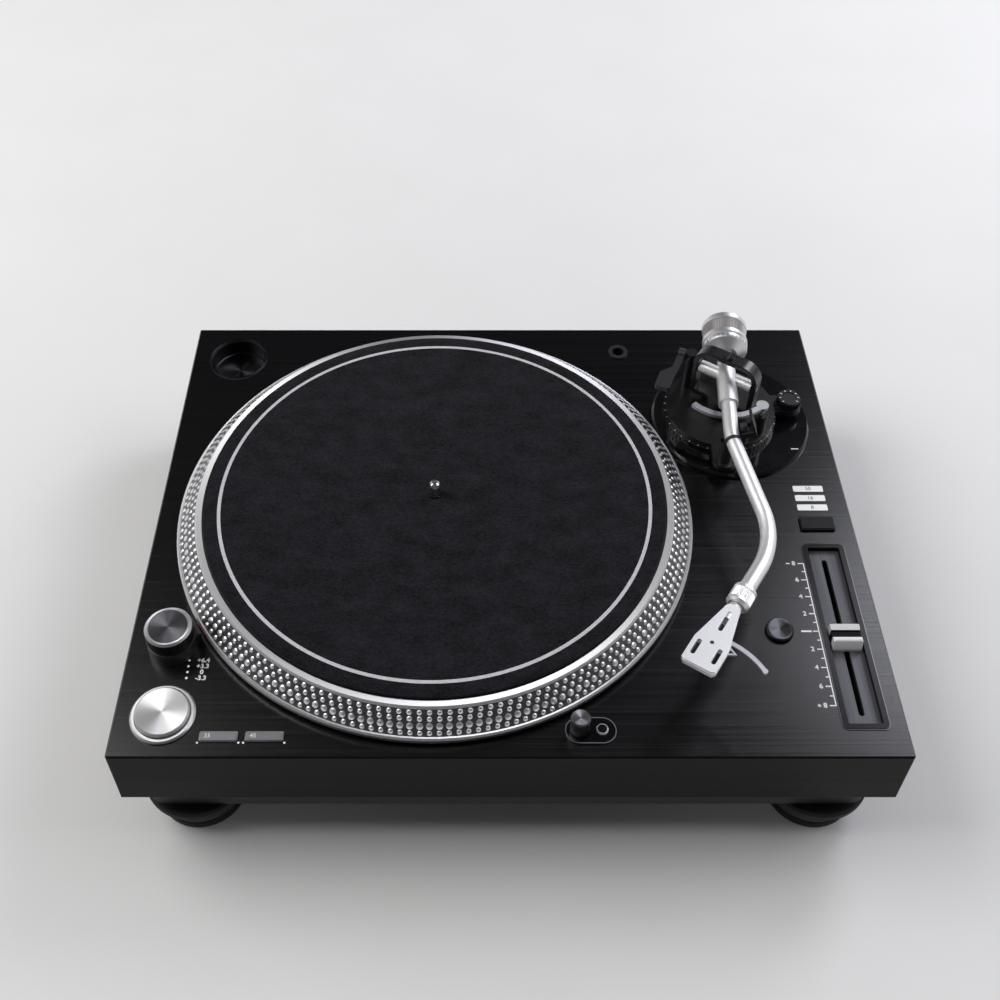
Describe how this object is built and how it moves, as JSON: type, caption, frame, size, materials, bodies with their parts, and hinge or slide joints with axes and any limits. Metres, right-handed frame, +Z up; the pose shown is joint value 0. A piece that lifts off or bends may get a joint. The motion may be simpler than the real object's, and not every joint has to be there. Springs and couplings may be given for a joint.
{
  "type": "direct drive turntable",
  "caption": "Record deck with a direct drive platter, an S-shaped tonearm on a height-adjusting base, a pitch fader and push buttons on a heavy plinth.",
  "frame": {"origin": "on the table, under the middle of the plinth", "axes": "+X to the right along the front, +Y to the back, +Z up"},
  "size_m": [0.453, 0.353, 0.1616],
  "materials": {
    "dark_lacquer": "dark satin lacquer",
    "black_rubbery": "heavy black moulding",
    "steel": "bright steel",
    "black_plastic": "matt black",
    "gilt": "gilt",
    "cast_aluminium": "cast and turned",
    "coil_copper": "wound copper",
    "board_green": "circuit board",
    "black_gloss": "gloss black",
    "red_window": "clear red",
    "silver_metal": "bright satin silver",
    "lit_window": "milky white, lit",
    "ferrite": "dark grey",
    "felt": "dark grey felt",
    "chrome": "polished",
    "black_metal": "satin black anodised",
    "foot_rubber": "black"
  },
  "bodies": {
    "plinth": {"plinth_shell": "dark_lacquer", "base_tub": "black_rubbery", "base_screws": "steel", "terminal_plate": "black_plastic", "signal_jacks": "gilt", "ground_post": "steel", "mains_inlet": "black_plastic", "bearing_housing": "cast_aluminium", "stator": "coil_copper", "control_board": "board_green", "power_board": "board_green", "transformer": "coil_copper", "strobe_housing": "black_gloss", "strobe_window": "red_window", "start_ring": "silver_metal", "range_windows": "lit_window", "fader_tray": "dark_lacquer", "fader_track": "steel", "lamp_plate": "black_gloss", "headshell_socket": "black_plastic", "arm_flange": "black_gloss", "adapter_cup": "black_metal"},
    "platter": {"platter": "cast_aluminium", "rotor_magnet": "ferrite", "spindle": "steel"},
    "slipmat": {"slipmat": "felt"},
    "start_button": {"start_button": "silver_metal"},
    "speed_33_button": {"speed_33_button": "silver_metal"},
    "speed_45_button": {"speed_45_button": "silver_metal"},
    "power_knob": {"power_knob": "black_gloss"},
    "reset_button": {"reset_button": "black_gloss"},
    "range_button": {"range_button": "black_gloss"},
    "fader_cap": {"fader_cap": "chrome"},
    "stylus_lamp": {"stylus_lamp": "black_gloss"},
    "lamp_button": {"lamp_button": "black_gloss"},
    "foot_front_left": {"foot_front_left": "foot_rubber"},
    "foot_front_right": {"foot_front_right": "foot_rubber"},
    "foot_back_left": {"foot_back_left": "foot_rubber"},
    "foot_back_right": {"foot_back_right": "foot_rubber"},
    "height_ring": {"height_ring": "black_metal"},
    "height_lock": {"height_lock": "black_gloss"},
    "arm_platform": {"arm_platform": "black_metal", "arm_rest": "black_plastic", "lift_housing": "black_metal"},
    "yoke": {"yoke": "black_metal"},
    "tonearm": {"arm_pivot": "silver_metal", "arm_tube": "silver_metal", "tube_ring": "black_plastic", "weight_shaft": "steel"},
    "locking_collar": {"locking_collar": "silver_metal"},
    "headshell": {"headshell": "silver_metal", "finger_lift": "steel"},
    "counterweight": {"counterweight": "steel"},
    "force_dial": {"force_dial": "silver_metal"},
    "anti_skate_dial": {"anti_skate_dial": "black_metal"},
    "cue_lever": {"cue_lever": "black_plastic"},
    "lift_bar": {"lift_bar": "steel"},
    "arm_clamp": {"arm_clamp": "black_plastic"}
  },
  "joints": [
    {"name": "platter_spin", "type": "hinge", "parent": "plinth", "child": "platter", "pos_m": [-0.045, -0.004, 0], "axis": [0, 0, -1], "continuous": true},
    {"name": "slipmat_slip", "type": "hinge", "parent": "platter", "child": "slipmat", "pos_m": [-0.045, -0.004, 0], "axis": [0, 0, 1], "continuous": true},
    {"name": "start_press", "type": "slide", "parent": "plinth", "child": "start_button", "axis": [0, 0, -1], "range_m": [0, 0.0015], "stiffness_N_per_m": 300, "springref_m": -0.001},
    {"name": "speed_33_press", "type": "slide", "parent": "plinth", "child": "speed_33_button", "axis": [0, 0, -1], "range_m": [0, 0.001], "stiffness_N_per_m": 300, "springref_m": -0.001},
    {"name": "speed_45_press", "type": "slide", "parent": "plinth", "child": "speed_45_button", "axis": [0, 0, -1], "range_m": [0, 0.001], "stiffness_N_per_m": 300, "springref_m": -0.001},
    {"name": "power_turn", "type": "hinge", "parent": "plinth", "child": "power_knob", "pos_m": [-0.2, -0.103, 0], "axis": [0, 0, -1], "range_deg": [0, 35]},
    {"name": "reset_press", "type": "slide", "parent": "plinth", "child": "reset_button", "axis": [0, 0, -1], "range_m": [0, 0.0015], "stiffness_N_per_m": 300, "springref_m": -0.001},
    {"name": "range_press", "type": "slide", "parent": "plinth", "child": "range_button", "axis": [0, 0, -1], "range_m": [0, 0.0015], "stiffness_N_per_m": 300, "springref_m": -0.001},
    {"name": "pitch_slide", "type": "slide", "parent": "plinth", "child": "fader_cap", "axis": [0, 1, 0], "range_m": [-0.0452, 0.0548]},
    {"name": "lamp_pop_up", "type": "slide", "parent": "plinth", "child": "stylus_lamp", "axis": [0, 0, 1], "range_m": [-0.0135, 0]},
    {"name": "lamp_press", "type": "slide", "parent": "plinth", "child": "lamp_button", "axis": [0, 0, -1], "range_m": [0, 0.0012], "stiffness_N_per_m": 300, "springref_m": -0.001},
    {"name": "foot_front_left_height", "type": "slide", "parent": "plinth", "child": "foot_front_left", "axis": [0, 0, 1], "range_m": [-0.008, 0]},
    {"name": "foot_front_right_height", "type": "slide", "parent": "plinth", "child": "foot_front_right", "axis": [0, 0, 1], "range_m": [-0.008, 0]},
    {"name": "foot_back_left_height", "type": "slide", "parent": "plinth", "child": "foot_back_left", "axis": [0, 0, 1], "range_m": [-0.008, 0]},
    {"name": "foot_back_right_height", "type": "slide", "parent": "plinth", "child": "foot_back_right", "axis": [0, 0, 1], "range_m": [-0.008, 0]},
    {"name": "height_ring_turn", "type": "hinge", "parent": "plinth", "child": "height_ring", "pos_m": [0.15149, 0.08328, 0], "axis": [0, 0, 1], "range_deg": [0, 270]},
    {"name": "arm_height", "type": "slide", "parent": "plinth", "child": "arm_platform", "axis": [0, 0, 1], "range_m": [0, 0.006]},
    {"name": "height_lock_turn", "type": "hinge", "parent": "plinth", "child": "height_lock", "pos_m": [0.12205, 0.05058, 0], "axis": [0, 0, -1], "range_deg": [0, 25]},
    {"name": "arm_swing", "type": "hinge", "parent": "arm_platform", "child": "yoke", "pos_m": [0.15149, 0.08328, 0.142], "axis": [0, 0, -1], "range_deg": [0, 42]},
    {"name": "arm_tilt", "type": "hinge", "parent": "yoke", "child": "tonearm", "pos_m": [0.15149, 0.08328, 0.142], "axis": [-0.8329, 0.5534, 0], "range_deg": [0, 12]},
    {"name": "collar_turn", "type": "hinge", "parent": "tonearm", "child": "locking_collar", "pos_m": [0.10524, -0.14203, 0.142], "axis": [-0.5534, -0.8329, 0], "range_deg": [0, 90]},
    {"name": "headshell_pull_out", "type": "slide", "parent": "tonearm", "child": "headshell", "axis": [-0.5534, -0.8329, 0], "range_m": [0, 0.02]},
    {"name": "counterweight_slide", "type": "slide", "parent": "tonearm", "child": "counterweight", "axis": [0.1132, 0.9936, 0], "range_m": [-0.005, 0.006]},
    {"name": "force_dial_turn", "type": "hinge", "parent": "counterweight", "child": "force_dial", "pos_m": [0.15149, 0.08328, 0.142], "axis": [0.1132, 0.9936, 0], "continuous": true},
    {"name": "anti_skate_turn", "type": "hinge", "parent": "arm_platform", "child": "anti_skate_dial", "pos_m": [0.19899, 0.08578, 0], "axis": [0, 0, 1], "range_deg": [0, 270]},
    {"name": "cue_lever_turn", "type": "hinge", "parent": "arm_platform", "child": "cue_lever", "pos_m": [0.13099, 0.10478, 0.14], "axis": [-0.9272, 0.3746, 0], "range_deg": [-25, 0]},
    {"name": "arm_lift", "type": "slide", "parent": "arm_platform", "child": "lift_bar", "axis": [0, 0, 1], "range_m": [-0.005, 0]},
    {"name": "rest_clip_turn", "type": "hinge", "parent": "arm_platform", "child": "arm_clamp", "pos_m": [0.15592, 0.03378, 0.1414], "axis": [0.0785, 0.9969, 0], "range_deg": [-70, 0]}
  ],
  "couplings": [
    {"joint": "height_ring_turn", "follows": "arm_height", "rad_per_m": 785.4},
    {"joint": "arm_lift", "follows": "cue_lever_turn", "m_per_rad": 0.011459}
  ]
}
